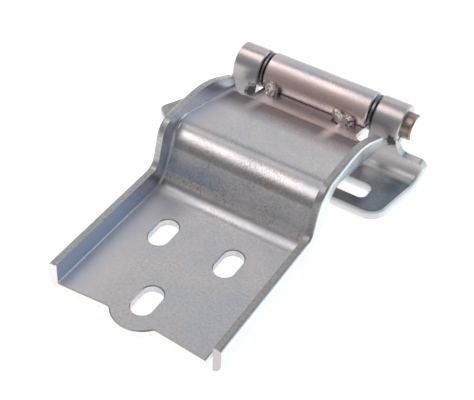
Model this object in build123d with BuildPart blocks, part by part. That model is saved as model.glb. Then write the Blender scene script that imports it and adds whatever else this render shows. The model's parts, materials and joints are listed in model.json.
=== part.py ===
# Pressed steel vehicle door hinge, closed.
# X runs along the hinge pin, Y from the door leaf's front edge towards the pin, and Z is up.
# The origin lies on the door leaf's mounting face, midway between its front slot and its rear pair.

import os
from math import acos, cos, degrees, hypot, radians, sin, tan

from build123d import *

os.makedirs("parts", exist_ok=True)

# Pin and bearing, in millimetres
pin_diameter = 10.0
pin_back = 117.0
pin_height = 20.0
head_diameter = 12.0
head_length = 4.4
head_chamfer = 0.7
end_recess = 0.4
end_chamfer = 1.0
bush_wall = 0.5
bush_length = 20.0
running_gap = 0.03
seat_gap = 0.01

# Barrel, washers and knuckles along the pin
barrel_length = 51.6
washer_thickness = 0.9
washer_diameter = 16.8
washer_side_gap = 0.9
washer_bore_gap = 0.2
knuckle_length = 13.0
seam_gap = 0.25
rim_break = 0.5
edge_break = 0.4

# Door leaf
door_sheet = 3.5
leaf_width = 77.0
front_edge = 27.3
front_corner_lead = 1.8
flange_height = 9.5
foot_back = 41.0
riser_angle = 66.0
decline_angle = 13.5
foot_bend = 9.8
ridge_bend = 5.3
side_bend = 1.2

# Top edge of the door leaf's flanges over the hump
flange_foot_lead = 2.6
flange_ridge_lead = 11.0
flange_ridge_rise = 3.8
flange_crown_back = 21.8
flange_crown_rise = 10.3
flange_end_gap = 17.0
flange_end_rise = 6.0
flange_end_lean = 15.6
flange_foot_round = 5.0
flange_ridge_round = 9.0
flange_crown_round = 50.0
flange_edge_round = 1.2
flange_end_round = 2.5

# Holes and cuts in the door leaf
slot_width = 9.0
slot_length = 15.6
slot_row_pitch = 33.5
slot_pair_pitch = 31.0
slot_shift = -1.8
ear_radius = 12.5
ear_blend = 2.0
corner_notch_width = 3.2
corner_notch_depth = 5.0
relief_depth = 3.8
relief_rim_reach = 2.4
relief_rim_radius = 5.0
relief_rim_width = 2.8
relief_rim_depth = 1.0

# Weld beads on the barrel seam
left_weld_x = -20.0
right_weld_x = 16.0
bead_radius = 2.7
bead_step = 1.5

# Body leaf
body_sheet = 4.0
wall_angle = 80.0
wall_bend = 9.0
body_front_gap = 43.7
cutout_gap = 19.5
cutout_corner = 6.0
shoulder_height = 11.2
shoulder_round = 3.8
right_shoulder = 57.0
left_bend_edge = 58.8
neck_flare = 2.9
neck_drop = 3.0
neck_round = 5.0
bend_allowance = 0.6
wing_edge_round = 1.5
body_slot_across = 33.2
body_slot_gap = 31.9
body_slot_length = 16.0
body_slot_width = 9.2
body_slot_corner = 3.0

# Corners of the body leaf's wings in plan: across, in front of the pin, and rounding
right_wing = [(50.7, body_front_gap, 9.0), (58.2, 0.0, 0.0)]
left_wing = [(55.0, 0.0, 0.0), (55.0, 12.0, 5.0), (65.3, 33.4, 3.5), (54.0, body_front_gap, 8.0)]

# Sizes that follow from the ones above, a length that reaches past the hinge, and a matching distance
pin_radius = pin_diameter / 2
bush_bore = pin_radius + running_gap
barrel_bore = bush_bore + bush_wall + seat_gap
barrel_radius = barrel_bore + door_sheet
knuckle_bore = pin_radius + seat_gap
knuckle_radius = knuckle_bore + body_sheet
barrel_face = barrel_length / 2
knuckle_inner = barrel_face + 2 * washer_side_gap + washer_thickness
knuckle_outer = knuckle_inner + knuckle_length
leaf_side = leaf_width / 2
flange_inner = leaf_side - door_sheet
slot_row_back = slot_row_pitch / 2
flange_end_back = pin_back - flange_end_gap
past = 40.0
same = 0.001


def decline_bottom(back):
    """Height of the underside of the door leaf's long slope, which runs on into the barrel."""
    slope = radians(decline_angle)
    return pin_height - barrel_radius / cos(slope) + (pin_back - back) * tan(slope)


def decline_top(back):
    """Height of the top of the door leaf's long slope."""
    return decline_bottom(back) + door_sheet / cos(radians(decline_angle))


def ridge_corner():
    """Sharp corner, on the underside, of the riser and the long slope."""
    rise = tan(radians(riser_angle))
    fall = tan(radians(decline_angle))
    back = (decline_bottom(0) + rise * underside_foot()) / (rise + fall)
    return back, decline_bottom(back)


def underside_foot():
    """Where the underside of the riser meets the mounting face."""
    return foot_back + door_sheet * tan(radians(riser_angle / 2))


def closed_roll(bore, sheet):
    """Angle that a rolled eye turns through before its end meets the plate it started from."""
    outer = bore + sheet
    return 360 - degrees(acos(bore / outer)) - degrees(seam_gap / outer)


def eye_section(bore, sheet, start, turn):
    """Section of a rolled eye about the pin, from the tangent point at the start angle."""
    with BuildLine() as outline:
        outer = CenterArc((pin_back, pin_height), bore + sheet, start, turn)
        inner = CenterArc((pin_back, pin_height), bore, start, turn)
        Line(outer @ 0, inner @ 0)
        Line(outer @ 1, inner @ 1)
    make_face(outline.edges())


def door_plate_path():
    """Underside of the door leaf, from its front edge to the foot of the barrel."""
    slope = radians(decline_angle)
    tangent = (pin_back - barrel_radius * sin(slope), pin_height - barrel_radius * cos(slope))
    return FilletPolyline(
        (-past, 0),
        (underside_foot(), 0),
        ridge_corner(),
        tangent,
        radius=[foot_bend + door_sheet, ridge_bend],
    )


def flange_end_corner():
    """Upper corner of the flange's end, which leans towards the front."""
    lean = tan(radians(flange_end_lean))
    return flange_end_back - flange_end_rise * lean, decline_top(flange_end_back) + flange_end_rise


def flange_top_points():
    """Corners of the flange's top edge, from the front to its end beside the barrel."""
    ridge_back, ridge_height = ridge_corner()
    crown_back = ridge_back + flange_crown_back
    return [
        (-past, door_sheet + flange_height),
        (foot_back - flange_foot_lead, door_sheet + flange_height),
        (ridge_back - flange_ridge_lead, ridge_height + door_sheet + flange_ridge_rise),
        (crown_back, decline_top(crown_back) + flange_crown_rise),
        flange_end_corner(),
    ]


def seam_point():
    """Corner of the barrel's rolled end, where it closes on the plate."""
    end = radians(270 - decline_angle + closed_roll(barrel_bore, door_sheet))
    return pin_back + barrel_radius * cos(end), pin_height + barrel_radius * sin(end)


def sheet_edges(part, side, lower_edge, height):
    """Edges along a leaf's side that stand a given height off the underside of its sheet."""

    def wanted(edge):
        middle = edge @ 0.5
        off_side = abs(abs(middle.X) - side)
        off_sheet = abs(lower_edge.distance_to(Vector(middle.Y, middle.Z)) - height)
        return max(off_side, off_sheet) < same

    return part.edges().filter_by(wanted)


def level_edges(part, height, wanted):
    """Edges that lie level at a height and whose middles are wanted."""

    def chosen(edge):
        level = all(abs((edge @ share).Z - height) < same for share in (0, 0.5, 1))
        return level and wanted(edge @ 0.5)

    return part.edges().filter_by(chosen)


def rims(part, radius):
    """Outer edges at the ends of the eyes rolled to a radius."""

    def wanted(edge):
        return edge.geom_type == GeomType.CIRCLE and abs(edge.radius - radius) < same

    return part.edges().filter_by(wanted)


# Door leaf: plate, flanges and barrel from one sheet
with BuildPart() as door_leaf:
    with BuildSketch(Plane.YZ) as plate_section:
        with BuildLine():
            door_plate_path()
            offset(amount=door_sheet, side=Side.LEFT)
        make_face()
    extrude(amount=leaf_side, both=True)

    with BuildSketch(Plane.YZ.offset(flange_inner)):
        with BuildLine():
            top_edge = FilletPolyline(
                flange_top_points(), radius=[flange_foot_round, flange_ridge_round, flange_crown_round]
            )
            run_out = Line(top_edge @ 1, top_edge @ 1 + past * (top_edge % 1))
            Polyline(run_out @ 1, (past + pin_back, -past), (-past, -past), top_edge @ 0)
        make_face()
        with BuildLine():
            lower_edge = door_plate_path()
            Polyline(lower_edge @ 1, (2 * pin_back, -2 * past), (-past, -2 * past), lower_edge @ 0)
        make_face(mode=Mode.SUBTRACT)
    extrude(amount=door_sheet)
    mirror(about=Plane.YZ)
    with BuildSketch():
        with Locations((0, pin_back - barrel_radius)):
            Rectangle(2 * leaf_width, 2 * past, align=(Align.CENTER, Align.MIN))
    extrude(amount=2 * past, both=True, mode=Mode.SUBTRACT)
    fillet(sheet_edges(door_leaf, leaf_side, lower_edge, 0), door_sheet + side_bend)
    fillet(sheet_edges(door_leaf, flange_inner, lower_edge, door_sheet), side_bend)
    fillet(sheet_edges(door_leaf, leaf_side, top_edge, 0), flange_edge_round)

    # Leaning end of both flanges
    lean = radians(flange_end_lean)
    with BuildSketch(Plane.YZ):
        with BuildLine():
            end_start = top_edge @ 1 - flange_end_rise * (top_edge % 1)
            end_foot = (flange_end_back + past * tan(lean), decline_top(flange_end_back) - past)
            end_line = FilletPolyline(end_start, top_edge @ 1, end_foot, radius=flange_end_round)
            Polyline(end_line @ 1, (3 * pin_back, -past), (3 * pin_back, 2 * past), end_line @ 0)
        make_face()
    extrude(amount=leaf_side, both=True, mode=Mode.SUBTRACT)

    # Relief cuts on both sides of the strip that rolls into the barrel
    relief_width = flange_inner - barrel_face
    relief_start = flange_end_back - relief_depth
    with BuildSketch():
        with Locations((barrel_face + relief_width / 2, relief_start + past / 2)):
            SlotOverall(past, relief_width, rotation=90)
        mirror(about=Plane.YZ)
    extrude(amount=past, mode=Mode.SUBTRACT)

    # Strip between the reliefs, with the rim of the left relief drawn down
    extrude(plate_section.sketch, amount=barrel_face, both=True)
    rim_back = relief_start - relief_rim_reach + relief_rim_radius
    slope = radians(decline_angle)
    rim_plane = Plane(
        (relief_rim_reach - barrel_face - relief_rim_radius, rim_back, decline_top(rim_back)),
        x_dir=(1, 0, 0),
        z_dir=(0, sin(slope), cos(slope)),
    )
    for depth, radius in ((0, relief_rim_radius), (relief_rim_depth, relief_rim_radius - relief_rim_width)):
        with BuildSketch(rim_plane.offset(-depth)):
            with Locations((0, past / 2 - radius)):
                SlotOverall(past, 2 * radius, rotation=90)
    loft(mode=Mode.SUBTRACT)

    # Barrel, rolled up behind the pin and down to the plate again
    with BuildSketch(Plane.YZ):
        eye_section(barrel_bore, door_sheet, 270 - decline_angle, closed_roll(barrel_bore, door_sheet))
    extrude(amount=barrel_face, both=True)
    chamfer(rims(door_leaf, barrel_radius), rim_break)

    # Front edge, with the ear round the front slot
    front_slot = (slot_shift, -slot_row_back)
    ear_centre = (slot_shift, -slot_row_back - (slot_length - slot_width) / 2)
    front_corner = front_edge + front_corner_lead
    with BuildSketch() as front_cut:
        with BuildLine():
            Polyline(
                (-leaf_width, -front_corner),
                (-leaf_side, -front_corner),
                (slot_shift - ear_radius, -front_edge),
                (slot_shift + ear_radius, -front_edge),
                (leaf_side, -front_corner),
                (leaf_width, -front_corner),
                (leaf_width, -2 * past),
                (-leaf_width, -2 * past),
                close=True,
            )
        make_face()
        with Locations(ear_centre):
            Circle(ear_radius, mode=Mode.SUBTRACT)
        ear_corners = front_cut.vertices().filter_by(
            lambda corner: abs((Vector(*corner) - Vector(ear_centre)).length - ear_radius) < same
        )
        fillet(ear_corners, ear_blend)
        with Locations((flange_inner - corner_notch_width / 2, -front_corner)):
            Rectangle(corner_notch_width, 2 * corner_notch_depth)
    extrude(amount=past, mode=Mode.SUBTRACT)

    # Bolt slots
    with BuildSketch():
        with Locations(front_slot):
            SlotOverall(slot_length, slot_width, rotation=90)
        with Locations((slot_shift, slot_row_back)):
            with GridLocations(slot_pair_pitch, 1, 2, 1):
                SlotOverall(slot_length, slot_width, rotation=90)
    extrude(amount=past, mode=Mode.SUBTRACT)

    # Broken edges of the pad's front and of its slots
    pad_side = flange_inner - 2 * side_bend
    pad_back = foot_back - foot_bend

    def on_pad(middle):
        return abs(middle.X) < pad_side and middle.Y < pad_back

    chamfer(level_edges(door_leaf, door_sheet, on_pad), edge_break)
door_leaf.part.label = "door_leaf"

# Body leaf: plate and wall from one sheet, then the two outer knuckles
with BuildPart() as body_leaf:
    with BuildSketch(Plane.YZ):
        with BuildLine():
            wall = radians(wall_angle)
            wall_top = (pin_back - knuckle_bore * sin(wall), pin_height + knuckle_bore * cos(wall))
            FilletPolyline(
                (pin_back - body_front_gap - past, 0),
                (wall_top[0] - wall_top[1] / tan(wall), 0),
                wall_top,
                radius=[wall_bend + body_sheet],
            )
            offset(amount=body_sheet, side=Side.LEFT)
        make_face()
    extrude(amount=2 * past, both=True)

    # Plan outline, with the gap that the barrel turns in
    with BuildSketch():
        with BuildLine():
            corners = [(across, pin_back - gap) for across, gap, _ in right_wing]
            corners += [(-across, pin_back - gap) for across, gap, _ in left_wing]
            rounds = [rounding for _, _, rounding in right_wing + left_wing]
            FilletPolyline(corners, radius=rounds, close=True)
        make_face()
        with Locations((0, pin_back - cutout_gap + past / 2)):
            RectangleRounded(2 * knuckle_inner, past, cutout_corner, mode=Mode.SUBTRACT)
    extrude(amount=2 * past, both=True, mode=Mode.INTERSECT)

    def on_wing_outline(middle):
        return abs(middle.X) > knuckle_inner or middle.Y < pin_back - cutout_gap - cutout_corner

    fillet(level_edges(body_leaf, body_sheet, on_wing_outline), wing_edge_round)

    # Outline of the wall seen from the front: shoulders, and necks up to the knuckles
    with BuildSketch(Plane.XZ):
        with BuildLine():
            neck = knuckle_outer + neck_flare
            right_side = [
                (right_shoulder, -past),
                (right_shoulder, shoulder_height),
                (neck, shoulder_height),
                (knuckle_outer, pin_height - neck_drop),
                (knuckle_outer, past),
            ]
            left_side = [
                (-knuckle_outer, past),
                (-knuckle_outer, pin_height - neck_drop),
                (-neck, shoulder_height),
                (-left_bend_edge, body_sheet + bend_allowance),
                (-2 * past, body_sheet + bend_allowance),
                (-2 * past, -past),
            ]
            FilletPolyline(
                right_side + left_side,
                radius=[0, shoulder_round, neck_round, 0, 0, 0, 0, neck_round, 0, 0, 0],
                close=True,
            )
        make_face()
    extrude(amount=4 * past, both=True, mode=Mode.INTERSECT)

    # Bolt slots
    with BuildSketch():
        with Locations((0, pin_back - body_slot_gap)):
            with GridLocations(2 * body_slot_across, 1, 2, 1):
                RectangleRounded(body_slot_length, body_slot_width, body_slot_corner)
    extrude(amount=past, mode=Mode.SUBTRACT)

    def on_slot(middle):
        off_slot = hypot(abs(middle.X) - body_slot_across, middle.Y - pin_back + body_slot_gap)
        return off_slot < body_slot_width

    chamfer(level_edges(body_leaf, body_sheet, on_slot), edge_break)

    # Knuckles
    for knuckle_start in (knuckle_inner, -knuckle_outer):
        with BuildSketch(Plane.YZ.offset(knuckle_start)):
            eye_section(knuckle_bore, body_sheet, 90 + wall_angle, -closed_roll(knuckle_bore, body_sheet))
        extrude(amount=knuckle_length)
    chamfer(rims(body_leaf, knuckle_radius), rim_break)
body_leaf.part.label = "body_leaf"

# Hinge pin, with its head outside the right knuckle
with BuildPart() as hinge_pin:
    with BuildSketch(Plane.YZ.offset(end_recess - knuckle_outer)):
        with Locations((pin_back, pin_height)):
            Circle(pin_radius)
    extrude(amount=2 * knuckle_outer - end_recess + head_length)
    chamfer(hinge_pin.edges().group_by(Axis.X)[0], end_chamfer)
    with BuildSketch(Plane.YZ.offset(knuckle_outer + seat_gap)):
        with Locations((pin_back, pin_height)):
            Circle(head_diameter / 2)
    extrude(amount=head_length)
    chamfer(hinge_pin.edges().group_by(Axis.X)[-1], head_chamfer)
hinge_pin.part.label = "hinge_pin"


def ring(inner_radius, outer_radius, start, length):
    """Plain ring about the pin, from a place along it."""
    with BuildPart() as made:
        with BuildSketch(Plane.YZ.offset(start)):
            with Locations((pin_back, pin_height)):
                Circle(outer_radius)
                Circle(inner_radius, mode=Mode.SUBTRACT)
        extrude(amount=length)
    return made.part


# Loose washers in the gaps between barrel and knuckles
washer_bore = pin_radius + washer_bore_gap
washer_start = barrel_face + washer_side_gap
right_washer = ring(washer_bore, washer_diameter / 2, washer_start, washer_thickness)
left_washer = ring(washer_bore, washer_diameter / 2, -washer_start - washer_thickness, washer_thickness)
right_washer.label = "right_washer"
left_washer.label = "left_washer"

# Bearing sleeves, one from each end of the barrel
right_bush = ring(bush_bore, bush_bore + bush_wall, barrel_face - bush_length, bush_length)
left_bush = ring(bush_bore, bush_bore + bush_wall, -barrel_face, bush_length)
right_bush.label = "right_bush"
left_bush.label = "left_bush"


def weld_bead(middle, steps):
    """Row of weld blobs in the corner between the rolled barrel and the plate."""
    seam_back, seam_height = seam_point()
    with BuildPart() as bead:
        with Locations((middle, seam_back, seam_height)):
            with GridLocations(bead_step, 1, steps, 1):
                Sphere(bead_radius)
        with BuildSketch(Plane.YZ):
            with Locations((pin_back, pin_height)):
                Circle(barrel_radius + seat_gap)
            with BuildLine():
                Polyline(
                    (0, decline_top(0) + seat_gap),
                    (pin_back, decline_top(pin_back) + seat_gap),
                    (pin_back, -past),
                    (0, -past),
                    close=True,
                )
            make_face()
        extrude(amount=2 * past, both=True, mode=Mode.SUBTRACT)
    return bead.part


left_tack_weld = weld_bead(left_weld_x, 1)
right_tack_weld = weld_bead(right_weld_x, 3)
left_tack_weld.label = "left_tack_weld"
right_tack_weld.label = "right_tack_weld"

export_step(door_leaf.part, "parts/door_leaf.step")
export_step(body_leaf.part, "parts/body_leaf.step")
export_step(hinge_pin.part, "parts/hinge_pin.step")
export_step(right_washer, "parts/right_washer.step")
export_step(left_washer, "parts/left_washer.step")
export_step(right_bush, "parts/right_bush.step")
export_step(left_bush, "parts/left_bush.step")
export_step(left_tack_weld, "parts/left_tack_weld.step")
export_step(right_tack_weld, "parts/right_tack_weld.step")
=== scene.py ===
"""Looks of the pressed steel door hinge: plated leaves, turned pieces, weld beads, table and lights."""

import json
from math import cos, pi, radians, sin

import bmesh
import bpy
from mathutils import Matrix, Vector, noise


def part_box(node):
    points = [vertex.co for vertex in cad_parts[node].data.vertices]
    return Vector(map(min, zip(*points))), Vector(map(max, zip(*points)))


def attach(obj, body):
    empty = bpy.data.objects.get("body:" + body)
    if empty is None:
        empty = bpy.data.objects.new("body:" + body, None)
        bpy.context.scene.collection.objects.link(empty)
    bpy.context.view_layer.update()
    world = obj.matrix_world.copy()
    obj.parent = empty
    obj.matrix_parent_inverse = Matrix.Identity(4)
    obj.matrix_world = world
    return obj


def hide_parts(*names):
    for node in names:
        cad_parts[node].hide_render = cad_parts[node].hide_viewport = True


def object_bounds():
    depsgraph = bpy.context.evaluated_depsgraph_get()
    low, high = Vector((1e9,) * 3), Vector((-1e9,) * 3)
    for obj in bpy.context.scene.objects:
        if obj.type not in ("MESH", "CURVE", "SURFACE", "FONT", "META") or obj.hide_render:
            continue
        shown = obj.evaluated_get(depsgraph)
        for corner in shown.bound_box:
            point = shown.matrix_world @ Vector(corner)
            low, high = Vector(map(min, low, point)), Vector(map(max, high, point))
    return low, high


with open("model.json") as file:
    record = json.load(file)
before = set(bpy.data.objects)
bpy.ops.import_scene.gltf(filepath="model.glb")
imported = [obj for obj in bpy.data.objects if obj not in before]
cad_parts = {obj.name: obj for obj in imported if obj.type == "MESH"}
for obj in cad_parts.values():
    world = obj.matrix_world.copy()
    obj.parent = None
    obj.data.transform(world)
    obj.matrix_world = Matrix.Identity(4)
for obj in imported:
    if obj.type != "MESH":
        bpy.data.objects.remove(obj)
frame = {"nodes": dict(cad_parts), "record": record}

bl_info = {
    "name": "Door Hinge Looks",
    "version": (1, 0, 0),
    "blender": (4, 5, 0),
    "location": "View3D > Sidebar > Door Hinge",
    "description": "Plated steel finishes, weld beads and studio for a pressed door hinge",
    "category": "Object",
}

NODES = frame["nodes"]
CAD_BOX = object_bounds()
DOOR_BODY = "door_side"

# Places and sizes of the CAD pieces, in metres
PIN_PLACE = Vector(frame["record"]["behaviour"]["joints"][0]["pos_m"])
LEAF_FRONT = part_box("door_leaf")[0].y
LEAF_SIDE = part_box("door_leaf")[1].x
FLANGE_SHEET = 0.0035
BARREL_RADIUS = 0.00904
PAD_END = 0.0365
RISER_ANGLE = radians(66)
DECLINE_ANGLE = radians(13.5)

# The ridge between riser and slope, and how far its shading moves down to the front
RIDGE_CENTRE = Vector((0, 0.05775, 0.01948))
RIDGE_RADIUS = 0.0088
RIDGE_TILT = (RISER_ANGLE - DECLINE_ANGLE) / 2
RIDGE_SHIFT = 0.0040

# Limits that several marks share, written as Finish.zone takes them
FACES_UP = (0.9, 0.95)
ON_RIGHT_HALF = (-0.01, 0.01)
ON_BARREL = (BARREL_RADIUS + 0.0002, BARREL_RADIUS - 0.0002)
ON_FLANGE = (1.1 * FLANGE_SHEET, FLANGE_SHEET)
ROLLED_FRONT = (0.1, -0.6)
TURNING_DOWN = {"up": (0.05, 0.30, 0.65, 0.85), "back": (-0.2, -0.5)}

# Reflections of the room that the plate's marks stand in for
PALE_REFLECTION = (0.95, 0.91, 0.91)
DUSKY_REFLECTION = (0.42, 0.41, 0.41)

# Spots of painted shade on the body leaf's front faces, under the left knuckle and by the right flange's
# end: place along X, height and radius
PAINTED_SHADE_SPOTS = ((-0.0298, 0.0128, 0.0044), (0.0392, 0.0164, 0.0028))

# Blobs of each weld bead: share of the way along it, offsets to the back and up, and radius
WELD_BLOBS = {
    "left": (
        (0.35, 0.0002, 0.0014, 0.0027),
        (0.60, -0.0012, 0.0003, 0.0030),
        (0.42, -0.0028, -0.0010, 0.0022),
    ),
    "right": (
        (0.15, 0.0002, 0.0013, 0.0026),
        (0.45, -0.0012, 0.0002, 0.0031),
        (0.78, 0.0000, 0.0006, 0.0024),
        (1.0, -0.0010, -0.0006, 0.0016),
        (0.55, -0.0028, -0.0010, 0.0022),
    ),
}
WELD_MIDDLES = [sum(corner.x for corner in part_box(f"{side}_tack_weld")) / 2 for side in WELD_BLOBS]

# Lumps on the beads: scales of the coarse and the fine noise, and the fine one's share
COARSE_LUMPS = 900
FINE_LUMPS = 1900
FINE_SHARE = 0.35

# Soft lamps: direction from the hinge, distance, width, height, brightness and colour
LAMPS = {
    "back_card": ((-0.42, 0.80, 0.34), 1.1, 1.25, 1.1, 0.51, (1.0, 0.98, 0.985)),
    "rear_top_card": ((-0.30, 0.42, 0.80), 1.0, 0.9, 0.55, 0.26, (1.0, 0.98, 0.98)),
    "side_card": ((0.62, 0.70, 0.42), 1.2, 0.8, 0.9, 0.95, (0.62, 0.82, 1.0)),
    "top_softbox": ((-0.27, -0.17, 0.93), 1.0, 0.9, 0.40, 1.75, (1.0, 0.98, 0.98)),
}
ROOM_COLOUR = (1.0, 0.97, 0.98)
FLOOR_GAP = 0.0002

# A Mix node's sockets for each kind of data: its two inputs and its output
MIX_SOCKETS = {"RGBA": (6, 7, 2), "VECTOR": (4, 5, 1)}


# Settings
def colour_setting(name, description, default):
    """Property that holds a finish's colour."""
    return bpy.props.FloatVectorProperty(
        name=name, description=description, subtype="COLOR", size=3, min=0, max=1, default=default
    )


def length_setting(name, description, default):
    """Property that holds a length in metres."""
    return bpy.props.FloatProperty(
        name=name, description=description, subtype="DISTANCE", min=0, precision=5, default=default
    )


def share_setting(name, description, default):
    """Property that holds a share between none and all."""
    return bpy.props.FloatProperty(
        name=name, description=description, subtype="FACTOR", min=0, max=1, default=default
    )


class PlateSettings(bpy.types.PropertyGroup):
    """Zinc plate on the two leaves."""

    warm: colour_setting("Warm patches", "Colour of the warmer patches of the plate", (0.70, 0.665, 0.665))
    cool: colour_setting("Cool patches", "Colour of the bluish patches of the plate", (0.62, 0.645, 0.69))
    # Partly the flanges' own bluish film and partly painted blue reflection
    blue: colour_setting("Blue flanges", "Colour of the bluish film in the flanges", (0.57, 0.71, 0.90))
    galled: colour_setting("Galled streaks", "Colour of the brown marks of pressing", (0.44, 0.29, 0.25))
    bloom: colour_setting("Barrel bloom", "Tint of the barrel where it was rolled", (1.0, 0.86, 0.83))
    # Colour of the painted dark reflection on the slope before the barrel
    slope_shade: colour_setting("Slope stain", "Tint of the slope before the barrel", (0.36, 0.335, 0.335))
    sheared: colour_setting("Sheared edges", "Colour of the sheet's cut edges", (0.68, 0.68, 0.67))
    body: colour_setting("Body leaf", "Colour of the body leaf's plate", (0.67, 0.635, 0.625))
    roughness: share_setting("Roughness", "How satin the plate is", 0.29)
    grain: length_setting("Grain height", "Height of the plate's fine grain", 0.00003)


class SmallPartSettings(bpy.types.PropertyGroup):
    """Pin, washers and bushes."""

    pin: colour_setting("Pin", "Colour of the pin's satin steel", (0.46, 0.37, 0.31))
    # Painted highlight on the pin's ends that face +X
    pin_end_highlight: colour_setting("Pin's end", "Colour of the bright end of the pin's head", (0.97, 0.95, 0.92))
    washer: colour_setting("Washers", "Colour of the dark washers", (0.30, 0.31, 0.33))
    bush: colour_setting("Bushes", "Colour of the bronze bushes", (0.62, 0.42, 0.22))


class WeldSettings(bpy.types.PropertyGroup):
    """Tack welds that hold the rolled barrel shut."""

    bright: colour_setting("Bright weld", "Colour of the plated tops of the beads", (0.80, 0.72, 0.70))
    burnt: colour_setting("Burnt weld", "Colour of the burnt pits in the beads", (0.06, 0.05, 0.05))
    lump: length_setting("Lump height", "How far the lumps stand off the bead", 0.00055)
    voxel: length_setting("Voxel", "Size of the cells that fuse the blobs", 0.00022)


class StageSettings(bpy.types.PropertyGroup):
    """Floor, lights and camera."""

    floor_colour: colour_setting("Floor colour", "Colour of the table", (0.9, 0.9, 0.9))
    floor_glow: share_setting("Floor glow", "Light that the table gives off itself", 0.8)
    floor_size: length_setting("Floor size", "Length of the table's sides", 6.0)
    room: bpy.props.FloatProperty(
        name="Room light", description="Brightness of the room", min=0, default=0.25
    )
    camera_place: bpy.props.FloatVectorProperty(
        name="Camera place",
        description="Where the camera stands",
        subtype="XYZ",
        unit="LENGTH",
        size=3,
        default=(0.1485, -0.2281, 0.2980),
    )
    camera_azimuth: bpy.props.FloatProperty(
        name="Azimuth",
        description="Turn of the camera round the hinge",
        subtype="ANGLE",
        default=radians(28.55),
    )
    camera_elevation: bpy.props.FloatProperty(
        name="Elevation",
        description="How steeply the camera looks down",
        subtype="ANGLE",
        default=radians(42.96),
    )
    camera_roll: bpy.props.FloatProperty(
        name="Roll",
        description="Tilt of the camera about its own line of sight",
        subtype="ANGLE",
        default=radians(4.14),
    )
    camera_lens: bpy.props.FloatProperty(
        name="Lens",
        description="Focal length in millimetres on a 36 mm wide sensor",
        unit="CAMERA",
        default=78.41,
    )


# Node helpers
def feed(tree, socket, value):
    """Links a socket to another node's output, or sets its value. A colour is given as three numbers."""
    if isinstance(value, bpy.types.NodeSocket):
        tree.links.new(value, socket)
    elif socket.type == "RGBA":
        socket.default_value = (*value, 1.0)
    else:
        socket.default_value = value


def add_node(tree, kind, settings=None, **inputs):
    """New node with its settings and its inputs, each a value or another node's output."""
    node = tree.nodes.new(kind)
    for name, value in (settings or {}).items():
        setattr(node, name, value)
    for name, value in inputs.items():
        feed(tree, node.inputs[name.replace("_", " ")], value)
    return node


def new_material(name, **inputs):
    """Material with an output and a shader, whose inputs are given by name."""
    material = bpy.data.materials.new(name)
    material.use_nodes = True
    tree = material.node_tree
    tree.nodes.clear()
    shader = add_node(tree, "ShaderNodeBsdfPrincipled", **inputs)
    add_node(tree, "ShaderNodeOutputMaterial", Surface=shader.outputs["BSDF"])
    return material, tree, shader


def grey(level):
    """Neutral colour of one brightness."""
    return (level, level, level)


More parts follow.
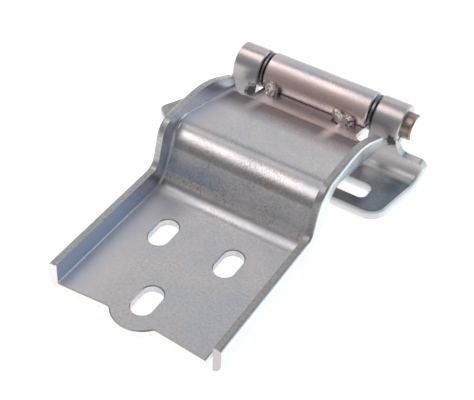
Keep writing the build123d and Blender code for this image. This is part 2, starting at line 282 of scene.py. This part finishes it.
class Finish:
    """Metal finish with the colour and the roughness that its marks have built up so far.

    Its measures x, y and z are the place on the hinge in metres, and right, back and up say how far the
    surface faces each way.
    """

    def __init__(self, name):
        self.material, self.tree, self.shader = new_material(name, Metallic=1.0)
        coordinates = self.add("ShaderNodeTexCoord").outputs
        self.place = coordinates["Object"]
        self.facing = coordinates["Normal"]
        self.x, self.y, self.z = self.add("ShaderNodeSeparateXYZ", Vector=self.place).outputs
        self.right, self.back, self.up = self.add("ShaderNodeSeparateXYZ", Vector=self.facing).outputs
        self.colour = None
        self.roughness = None

    def add(self, kind, settings=None, **inputs):
        """New node of this finish."""
        return add_node(self.tree, kind, settings, **inputs)

    def math(self, operation, first, second=0.0):
        """Arithmetic on one or two values."""
        node = self.add("ShaderNodeMath", {"operation": operation})
        feed(self.tree, node.inputs[0], first)
        feed(self.tree, node.inputs[1], second)
        return node.outputs[0]

    def dot(self, vector, direction):
        """How far a vector goes along a fixed direction."""
        node = self.add("ShaderNodeVectorMath", {"operation": "DOT_PRODUCT"})
        feed(self.tree, node.inputs[0], vector)
        feed(self.tree, node.inputs[1], direction)
        return node.outputs["Value"]

    def clouds(self, scale, detail, roughness=0.55, vector=None):
        """Soft noise between 0 and 1, with features of about 1/scale metres."""
        made = self.add(
            "ShaderNodeTexNoise",
            Vector=vector or self.place,
            Scale=scale,
            Detail=detail,
            Roughness=roughness,
        )
        return made.outputs["Fac"]

    def streaks(self, scales, detail, roughness=0.55):
        """Noise with its own scale along each axis."""
        mapping = self.add("ShaderNodeMapping", Vector=self.place, Scale=scales)
        return self.clouds(1, detail, roughness, mapping.outputs["Vector"])

    def spread(self, value, low, high, to_low=0.0, to_high=1.0):
        """A value's range stretched to another, with its ends clipped."""
        limits = {"From_Min": low, "From_Max": high, "To_Min": to_low, "To_Max": to_high}
        return self.add("ShaderNodeMapRange", Value=value, **limits).outputs["Result"]

    def overlap(self, *masks):
        """Where every mask holds."""
        joined = masks[0]
        for mask in masks[1:]:
            joined = self.math("MULTIPLY", joined, mask)
        return joined

    def zone(self, **limits):
        """Mask that holds within the limits of every measure named.

        Of two limits, the mask is 0 at the first and 1 at the second. Of four, it is 0 at the first, 1
        from the second to the third, and 0 again at the fourth.
        """
        masks = []
        for measure, ends in limits.items():
            value = getattr(self, measure)
            masks.append(self.spread(value, *ends[:2]))
            if len(ends) == 4:
                masks.append(self.spread(value, ends[3], ends[2]))
        return self.overlap(*masks)

    def mixed(self, factor, first, second, kind="RGBA", blend="MIX"):
        """Two colours or vectors mixed by a factor."""
        node = self.add("ShaderNodeMix", {"data_type": kind, "blend_type": blend}, Factor=factor)
        first_socket, second_socket, result = MIX_SOCKETS[kind]
        feed(self.tree, node.inputs[first_socket], first)
        feed(self.tree, node.inputs[second_socket], second)
        return node.outputs[result]

    def tint(self, mask, colour):
        """Lays a colour over the finish where a mask holds."""
        self.colour = self.mixed(mask, self.colour, colour)

    def darken(self, mask, colour):
        """Multiplies the finish's colour by another where a mask holds."""
        self.tint(mask, self.mixed(1.0, self.colour, colour, blend="MULTIPLY"))

    def roughen(self, mask, amount):
        """Adds to the finish's roughness where a mask holds."""
        self.roughness = self.math("ADD", self.roughness, self.math("MULTIPLY", mask, amount))

    def done(self):
        """Joins the colour and the roughness to the shader, and gives the material."""
        feed(self.tree, self.shader.inputs["Base Color"], self.colour)
        feed(self.tree, self.shader.inputs["Roughness"], self.roughness)
        return self.material


class ZincPlate(Finish):
    """Satin zinc plate of a leaf: soft patches, fine speckle and a faint grain.

    Its further measures are inboard, the distance in from the door leaf's nearer side, and before_pin,
    the distance from the pin's axis to the front.
    """

    def __init__(self, name, settings, warm, cool):
        super().__init__(name)
        self.inboard = self.math("SUBTRACT", LEAF_SIDE, self.math("ABSOLUTE", self.x))
        self.before_pin = self.math("SUBTRACT", PIN_PLACE.y, self.y)

        patches = self.clouds(scale=60, detail=4)
        speckle = self.spread(self.clouds(scale=900, detail=3, roughness=0.7), 0.3, 0.7)
        self.colour = self.mixed(self.spread(patches, 0.36, 0.64), warm, cool)
        self.darken(1.0, self.mixed(speckle, grey(0.84), grey(1.08)))
        smoothest = settings.roughness - 0.04
        roughest = settings.roughness + 0.05
        self.roughness = self.spread(patches, 0.3, 0.7, smoothest, roughest)
        height = self.clouds(scale=1900, detail=2)
        self.grain = self.add("ShaderNodeBump", Strength=1.0, Distance=settings.grain, Height=height)
        feed(self.tree, self.shader.inputs["Normal"], self.grain.outputs["Normal"])


# Marks on the door leaf
def shade_ridge(plate):
    """Turns the ridge's normals as if its bend lay further down to the front, as on the real leaf."""
    outward = Vector((0, -sin(RIDGE_TILT), cos(RIDGE_TILT)))
    down = Vector((0, -cos(RIDGE_TILT), -sin(RIDGE_TILT)))
    reach = plate.math("SUBTRACT", plate.dot(plate.place, down), RIDGE_CENTRE.dot(down) + RIDGE_SHIFT)
    limit = sin((RISER_ANGLE + DECLINE_ANGLE) / 2)
    share = plate.spread(reach, -limit * RIDGE_RADIUS, limit * RIDGE_RADIUS, -limit, limit)
    tilt = plate.math("ADD", plate.math("ARCSINE", share), RIDGE_TILT)
    forward = plate.math("MULTIPLY", plate.math("SINE", tilt), -1.0)
    bent = plate.add("ShaderNodeCombineXYZ", X=0.0, Y=forward, Z=plate.math("COSINE", tilt))
    turned = plate.add(
        "ShaderNodeVectorTransform",
        {"vector_type": "NORMAL", "convert_from": "OBJECT", "convert_to": "WORLD"},
        Vector=bent.outputs["Vector"],
    )
    on_ridge = plate.overlap(
        plate.zone(inboard=(1.35 * FLANGE_SHEET, 1.5 * FLANGE_SHEET), z=(0.014, 0.017), y=(0.097, 0.094)),
        plate.spread(plate.dot(plate.facing, outward), 0.6, 0.7),
    )
    own = plate.add("ShaderNodeNewGeometry").outputs["Normal"]
    normal = plate.mixed(on_ridge, own, turned.outputs["Vector"], kind="VECTOR")
    feed(plate.tree, plate.grain.inputs["Normal"], normal)


def tint_pad(plate):
    """Painted light on the rougher plate beside the left flange, and painted shade that dims the highlight
    on the foot where the riser begins.
    """
    # Painted light: paler plate beside the left flange
    painted_light_by_flange = plate.zone(x=(0.0240 - LEAF_SIDE, 0.0080 - LEAF_SIDE), up=FACES_UP)
    plate.tint(painted_light_by_flange, (0.78, 0.75, 0.76))
    plate.roughen(painted_light_by_flange, 0.24)
    # Painted shade: darkens the foot's bend to dim its highlight
    foot = plate.zone(y=(PAD_END, PAD_END + 0.0035), z=(0.0085, 0.0068), up=(0.60, 0.72, 0.96, 0.995))
    plate.darken(foot, (0.48, 0.47, 0.47))


def tint_riser(plate):
    """Pale reflections low on the riser and along its crest."""
    rise = plate.zone(y=(PAD_END, PAD_END + 0.0020), z=(0.0150, 0.0120), up=(0.41, 0.50, 0.68, 0.80))
    plate.tint(rise, PALE_REFLECTION)
    crest = plate.zone(inboard=(0.0040, 0.0070), y=(0.0580, 0.0550), z=(0.0212, 0.0232, 0.0266, 0.0278))
    plate.tint(plate.overlap(crest, 0.42), PALE_REFLECTION)


def gall_riser(plate, brown):
    """Marks that the press left on the riser, grey near its foot and brown above."""
    outward = Vector((0, -sin(RISER_ANGLE), cos(RISER_ANGLE)))
    on_riser = plate.spread(plate.dot(plate.facing, outward), 0.80, 0.93)
    specks = plate.streaks(scales=(1100, 1000, 1000), detail=4, roughness=0.75)
    marks = plate.spread(specks, 0.45, 0.64)
    drifts = plate.spread(plate.clouds(scale=90, detail=2), 0.34, 0.6, to_low=0.22, to_high=0.72)
    mark_colour = plate.mixed(plate.zone(z=(0.0150, 0.0205)), grey(0.30), brown)
    plate.tint(plate.overlap(on_riser, marks, drifts), mark_colour)
    plate.roughen(on_riser, 0.05)


def film_and_reflection_on_flanges(plate, blue):
    """Bluish film in the flanges, partly the plate's own and partly painted reflection: inside it pales to
    the back, outside it is fainter.
    """
    outward = plate.math("MULTIPLY", plate.right, plate.x)
    inside = plate.spread(outward, -0.5 * LEAF_SIDE, -0.85 * LEAF_SIDE)
    outside = plate.spread(outward, 0.5 * LEAF_SIDE, 0.85 * LEAF_SIDE)
    # Partly the plate's bluish film and partly painted reflection
    plate.tint(inside, plate.mixed(plate.zone(y=(0.02, 0.055)), blue, (0.70, 0.72, 0.80)))
    plate.tint(outside, (0.84, 0.90, 0.94))


def paint_slope_light_and_shade(plate, slope_shade):
    """Painted shade as a dark reflection on the slope, painted light in a paler band behind it, and a
    painted pale reflection before each weld.
    """
    # Painted shade: dark reflection on the slope before the barrel
    painted_shade_on_slope = plate.zone(
        before_pin=(0.0210, 0.0228, 0.0280, 0.0400), up=FACES_UP, inboard=(0.0045, 0.0065)
    )
    plate.darken(painted_shade_on_slope, slope_shade)
    # Painted light: paler band between the painted shade and the barrel
    lighter = plate.zone(before_pin=(0.0065, 0.0080, 0.0200, 0.0228), up=FACES_UP)
    plate.tint(lighter, (0.84, 0.77, 0.77))
    # Painted pale reflection in a narrow band before each weld
    before_welds = plate.zone(before_pin=(0.0065, 0.0080, 0.0240, 0.0350), up=FACES_UP)
    for middle in WELD_MIDDLES:
        aside = plate.math("ABSOLUTE", plate.math("SUBTRACT", plate.x, middle))
        streak = plate.overlap(plate.spread(aside, 0.0032, 0.0006), before_welds, 0.7)
        plate.tint(streak, PALE_REFLECTION)


def tint_barrel(plate, bloom):
    """Brownish bloom where the barrel was rolled, and a painted pale reflection, rougher, on its side that
    turns down to the front.
    """
    plate.darken(plate.zone(before_pin=ON_BARREL, back=ROLLED_FRONT), bloom)
    # Painted pale reflection on the side that turns down to the front
    painted_reflection_below = plate.zone(before_pin=ON_BARREL, **TURNING_DOWN)
    plate.tint(painted_reflection_below, (0.93, 0.75, 0.70))
    plate.roughen(painted_reflection_below, 0.11)


def shear_edges(plate, colour):
    """Rough, pale cut edges along the flanges' tops and across the leaf's front."""
    on_flange = plate.zone(inboard=ON_FLANGE)
    not_sideways = plate.spread(plate.math("ABSOLUTE", plate.right), 0.75, 0.45)
    flange_top = plate.overlap(on_flange, not_sideways, plate.zone(up=(-0.2, 0.1)))
    front = plate.zone(y=(LEAF_FRONT + 0.022, LEAF_FRONT + 0.02), back=(-0.4, -0.7))
    sheared = plate.math("MAXIMUM", flange_top, front)

    on_right = plate.zone(x=ON_RIGHT_HALF)
    tears = plate.spread(plate.streaks(scales=(700, 900, 700), detail=4, roughness=0.7), 0.36, 0.6)
    left_top = plate.mixed(tears, grey(0.50), colour)
    right_top = plate.mixed(1.0, left_top, (0.78, 0.76, 0.76), blend="MULTIPLY")
    flange_end = plate.mixed(on_right, (0.88, 0.86, 0.83), (0.62, 0.58, 0.56))
    front_colour = plate.mixed(on_flange, (0.93, 0.92, 0.88), flange_end)
    edge_colour = plate.mixed(front, plate.mixed(on_right, left_top, right_top), front_colour)
    plate.tint(sheared, edge_colour)
    plate.roughen(sheared, 0.14)


def door_plate(settings):
    """Finish of the door leaf: galled riser, bluish flanges, stained slope and sheared edges."""
    plate = ZincPlate("zinc_plated_door_leaf", settings, settings.warm, settings.cool)
    shade_ridge(plate)
    tint_pad(plate)
    tint_riser(plate)
    gall_riser(plate, settings.galled)
    film_and_reflection_on_flanges(plate, settings.blue)
    paint_slope_light_and_shade(plate, settings.slope_shade)
    tint_barrel(plate, settings.bloom)
    shear_edges(plate, settings.sheared)
    return plate.done()


# Marks on the body leaf
def shade_wings(plate):
    """Painted shade on the flat of both wings, with a painted bluish reflection towards the right end, and
    painted shade that dims the highlight on the right wing's bend.
    """
    # Painted shade and painted bluish reflection on the wings' flat
    outer = plate.mixed(plate.zone(x=(0.034, 0.050)), grey(0.66), (0.33, 0.43, 0.50))
    flat_shade = plate.mixed(plate.zone(x=ON_RIGHT_HALF), (0.70, 0.70, 0.69), outer)
    plate.darken(plate.zone(z=(0.0046, 0.0041), up=(0.9, 0.99)), flat_shade)
    # Painted shade on the right wing's bend
    bend = plate.zone(x=ON_RIGHT_HALF, up=(0.38, 0.55, 0.92, 0.99), z=(0.0145, 0.0120))
    plate.darken(bend, DUSKY_REFLECTION)


def tint_knuckles(plate):
    """Brownish knuckles where they were rolled, and a painted grey reflection, rougher, on their side that
    turns down to the front.
    """
    knuckle = {"z": (0.0120, 0.0160), "before_pin": (0.0110, 0.0090)}
    plate.tint(plate.zone(**knuckle, back=ROLLED_FRONT), (0.57, 0.47, 0.46))
    # Painted grey reflection on the side that turns down to the front
    painted_reflection_below = plate.zone(**knuckle, **TURNING_DOWN)
    plate.tint(painted_reflection_below, (0.60, 0.62, 0.63))
    plate.roughen(painted_reflection_below, 0.11)


def ragged_spot(plate, x, z, radius):
    """Ragged round mask about a line that runs from front to back."""
    aside = plate.math("SUBTRACT", plate.x, x)
    above = plate.math("SUBTRACT", plate.z, z)
    squares = plate.math(
        "ADD", plate.math("MULTIPLY", aside, aside), plate.math("MULTIPLY", above, above)
    )
    rag = 0.35 * radius
    ragged = plate.spread(plate.clouds(scale=520, detail=3, roughness=0.6), 0.3, 0.7, -rag, rag)
    reach = plate.math("ADD", plate.math("SQRT", squares), ragged)
    return plate.spread(reach, radius, 0.6 * radius)


def body_plate(settings):
    """Finish of the body leaf: smudged plate with pale edges, painted light on its front walls and two
    spots of painted shade.
    """
    plate = ZincPlate("zinc_plated_body_leaf", settings, settings.body, settings.cool)
    smudges = plate.spread(plate.clouds(scale=170, detail=3), 0.52, 0.75, to_high=0.5)
    plate.tint(smudges, (0.40, 0.42, 0.42))
    shade_wings(plate)
    # Painted light: paler, less metallic front-facing surface under the knuckles
    painted_light_wall = plate.zone(back=(-0.5, -0.9), z=(0.0190, 0.0165))
    plate.tint(painted_light_wall, (0.97, 0.93, 0.91))
    tint_knuckles(plate)

    wing_edge = plate.zone(z=(0.0012, 0.0022, 0.0044, 0.0050), up=(0.97, 0.85), right=(0.80, 0.50))
    wall_end = plate.zone(x=(0.041, 0.044), right=(0.20, 0.45))
    pale_edge = plate.math("MAXIMUM", wing_edge, wall_end)
    plate.tint(pale_edge, (0.93, 0.97, 0.98))
    dull = plate.math("ADD", plate.overlap(pale_edge, 0.75), plate.overlap(painted_light_wall, 0.6))
    feed(plate.tree, plate.shader.inputs["Metallic"], plate.spread(dull, 0.0, 1.0, 1.0, 0.0))

    front = plate.zone(back=(-0.3, -0.7))
    # Painted shade: dark ragged spots under the left knuckle and by the right flange's end
    for place in PAINTED_SHADE_SPOTS:
        plate.tint(plate.overlap(front, ragged_spot(plate, *place)), grey(0.10))
    return plate.done()


# Finishes of the small parts and the welds
def turned_steel(name, colour, end_highlight, roughness, ring_scale):
    """Turned metal with fine rings about the pin and darker blotches; on the pin, the ends that face +X
    take a pale painted highlight.
    """
    metal = Finish(name)
    rings = metal.spread(metal.streaks(scales=(ring_scale, 60, 60), detail=3), 0.35, 0.65)
    blotches = metal.clouds(scale=260, detail=3)
    metal.colour = metal.mixed(rings, colour, [0.78 * part for part in colour])
    metal.tint(metal.spread(blotches, 0.5, 0.75, to_high=0.55), [0.5 * part for part in colour])
    # Painted highlight on the pin's ends that face +X; washers and bushes keep their own colour there
    metal.tint(metal.zone(right=(0.8, 0.95)), end_highlight)
    metal.roughness = metal.spread(blotches, 0.3, 0.7, roughness - 0.06, roughness + 0.1)
    return metal.done()


def weld_metal(settings):
    """Plated weld metal with burnt pits, and darker over more of the faces that turn down."""
    metal = Finish("weld_bead")
    pits = metal.clouds(scale=430, detail=3, roughness=0.6)
    under = metal.overlap(metal.zone(up=(0.2, -0.3)), metal.spread(pits, 0.4, 0.5))
    burnt = metal.math("MAXIMUM", metal.spread(pits, 0.59, 0.69), under)
    metal.colour = metal.mixed(burnt, settings.bright, settings.burnt)
    metal.roughness = metal.spread(burnt, 0.0, 1.0, 0.40, 0.6)
    return metal.done()


def paint(material, *nodes):
    """Gives CAD nodes a finish."""
    for name in nodes:
        if not NODES[name].material_slots:
            NODES[name].data.materials.append(material)
        for slot in NODES[name].material_slots:
            slot.material = material


# Pieces
def link_piece(name, mesh, material):
    """New object from a bmesh, with its place in its mesh."""
    data = bpy.data.meshes.new(name)
    mesh.to_mesh(data)
    mesh.free()
    data.materials.append(material)
    piece = bpy.data.objects.new(name, data)
    bpy.context.scene.collection.objects.link(piece)
    return piece


def weld_bead(name, node, blobs, settings, material):
    """Lumpy bead in place of a CAD one, of blobs that are fused along the node's box."""
    low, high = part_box(node)
    middle = (low + high) / 2
    mesh = bmesh.new()
    for share, back, up, radius in blobs:
        made = bmesh.ops.create_icosphere(mesh, subdivisions=4, radius=radius)
        place = Vector((low.x + share * (high.x - low.x), middle.y + back, middle.z + up))
        bmesh.ops.translate(mesh, verts=made["verts"], vec=place)
    for vert in mesh.verts:
        lump = noise.noise(vert.co * COARSE_LUMPS) + FINE_SHARE * noise.noise(vert.co * FINE_LUMPS)
        vert.co += vert.normal * settings.lump * lump
    piece = link_piece(name, mesh, material)
    fuse = piece.modifiers.new("fuse", "REMESH")
    fuse.mode = "VOXEL"
    fuse.voxel_size = settings.voxel
    fuse.use_smooth_shade = True
    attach(piece, DOOR_BODY)
    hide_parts(node)


# Stage
def make_floor(settings):
    """Pale table just under the hinge."""
    mesh = bmesh.new()
    bmesh.ops.create_grid(mesh, x_segments=1, y_segments=1, size=settings.floor_size / 2)
    bmesh.ops.translate(mesh, verts=mesh.verts, vec=(0, 0, CAD_BOX[0].z - FLOOR_GAP))
    pale_table = new_material(
        "pale_table",
        Base_Color=settings.floor_colour,
        Metallic=0.0,
        Roughness=0.6,
        Emission_Color=settings.floor_colour,
        Emission_Strength=settings.floor_glow,
    )[0]
    link_piece("floor", mesh, pale_table)


def light_room(scene, brightness):
    """Even light from all round."""
    world = bpy.data.worlds.new("studio")
    world.use_nodes = True
    tree = world.node_tree
    tree.nodes.clear()
    background = add_node(tree, "ShaderNodeBackground", Color=ROOM_COLOUR, Strength=brightness)
    add_node(tree, "ShaderNodeOutputWorld", Surface=background.outputs["Background"])
    scene.world = world


def add_lamp(scene, name, direction, distance, width, height, brightness, colour):
    """Rectangular lamp that faces the hinge. Its brightness is in watts per square metre and steradian."""
    lamp = bpy.data.lights.new(name, "AREA")
    lamp.shape = "RECTANGLE"
    lamp.size = width
    lamp.size_y = height
    lamp.energy = brightness * pi * width * height
    lamp.color = colour
    away = Vector(direction).normalized()
    middle = (CAD_BOX[0] + CAD_BOX[1]) / 2
    turn = away.to_track_quat("Z", "Y").to_matrix().to_4x4()
    holder = bpy.data.objects.new(name, lamp)
    holder.matrix_world = Matrix.Translation(middle + distance * away) @ turn
    scene.collection.objects.link(holder)


def add_camera(scene, settings):
    """Camera at the photo's angle."""
    lens = bpy.data.cameras.new("camera")
    lens.sensor_width = 36
    lens.lens = settings.camera_lens
    lens.clip_start = 0.01
    turn = (
        Matrix.Rotation(settings.camera_azimuth, 4, "Z")
        @ Matrix.Rotation(radians(90) - settings.camera_elevation, 4, "X")
        @ Matrix.Rotation(settings.camera_roll, 4, "Z")
    )
    camera = bpy.data.objects.new("camera", lens)
    camera.matrix_world = Matrix.Translation(settings.camera_place) @ turn
    scene.collection.objects.link(camera)
    scene.camera = camera


# Steps
class HINGE_OT_finish_leaves(bpy.types.Operator):
    """Give both leaves their satin zinc plate"""

    bl_idname = "hinge.finish_leaves"
    bl_label = "Finish Leaves"

    def execute(self, context):
        settings = context.scene.hinge_plate
        paint(door_plate(settings), "door_leaf")
        paint(body_plate(settings), "body_leaf")
        return {"FINISHED"}


class HINGE_OT_finish_small_parts(bpy.types.Operator):
    """Give the pin, the washers and the bushes their turned metal"""

    bl_idname = "hinge.finish_small_parts"
    bl_label = "Finish Small Parts"

    def execute(self, context):
        settings = context.scene.hinge_small_parts
        pin = turned_steel("pin_steel", settings.pin, settings.pin_end_highlight, roughness=0.34, ring_scale=1800)
        washer = turned_steel(
            "washer_steel", settings.washer, settings.washer, roughness=0.3, ring_scale=2600
        )
        bush = turned_steel("bush_bronze", settings.bush, settings.bush, roughness=0.36, ring_scale=2200)
        paint(pin, "hinge_pin")
        paint(washer, "left_washer", "right_washer")
        paint(bush, "left_bush", "right_bush")
        return {"FINISHED"}


class HINGE_OT_make_welds(bpy.types.Operator):
    """Make the lumpy tack welds along the barrel's seam"""

    bl_idname = "hinge.make_welds"
    bl_label = "Make Welds"

    def execute(self, context):
        settings = context.scene.hinge_weld
        material = weld_metal(settings)
        for side, blobs in WELD_BLOBS.items():
            weld_bead(f"{side}_weld_bead", f"{side}_tack_weld", blobs, settings, material)
        return {"FINISHED"}


class HINGE_OT_make_stage(bpy.types.Operator):
    """Add the table, the soft lights and the camera"""

    bl_idname = "hinge.make_stage"
    bl_label = "Make Stage"

    def execute(self, context):
        scene = context.scene
        settings = scene.hinge_stage
        make_floor(settings)
        light_room(scene, settings.room)
        for name, lamp in LAMPS.items():
            add_lamp(scene, name, *lamp)
        add_camera(scene, settings)
        scene.view_settings.view_transform = "Standard"
        return {"FINISHED"}


class HINGE_PT_looks(bpy.types.Panel):
    """Steps that dress the hinge"""

    bl_idname = "HINGE_PT_looks"
    bl_label = "Door Hinge"
    bl_space_type = "VIEW_3D"
    bl_region_type = "UI"
    bl_category = "Door Hinge"

    def draw(self, context):
        for step in STEPS:
            self.layout.operator(step.bl_idname)


SETTINGS = {
    "hinge_plate": PlateSettings,
    "hinge_small_parts": SmallPartSettings,
    "hinge_weld": WeldSettings,
    "hinge_stage": StageSettings,
}
STEPS = (HINGE_OT_finish_leaves, HINGE_OT_finish_small_parts, HINGE_OT_make_welds, HINGE_OT_make_stage)
CLASSES = (*SETTINGS.values(), *STEPS, HINGE_PT_looks)


def register():
    """Registers the classes and gives the scene its settings."""
    for kind in CLASSES:
        bpy.utils.register_class(kind)
    for name, kind in SETTINGS.items():
        setattr(bpy.types.Scene, name, bpy.props.PointerProperty(type=kind))


def unregister():
    """Takes the settings and the classes away again."""
    for name in SETTINGS:
        delattr(bpy.types.Scene, name)
    for kind in reversed(CLASSES):
        bpy.utils.unregister_class(kind)


def main():
    """Dresses the hinge step by step."""
    register()
    bpy.ops.hinge.finish_leaves()
    bpy.ops.hinge.finish_small_parts()
    bpy.ops.hinge.make_welds()
    bpy.ops.hinge.make_stage()


if __name__ == "__main__":
    main()
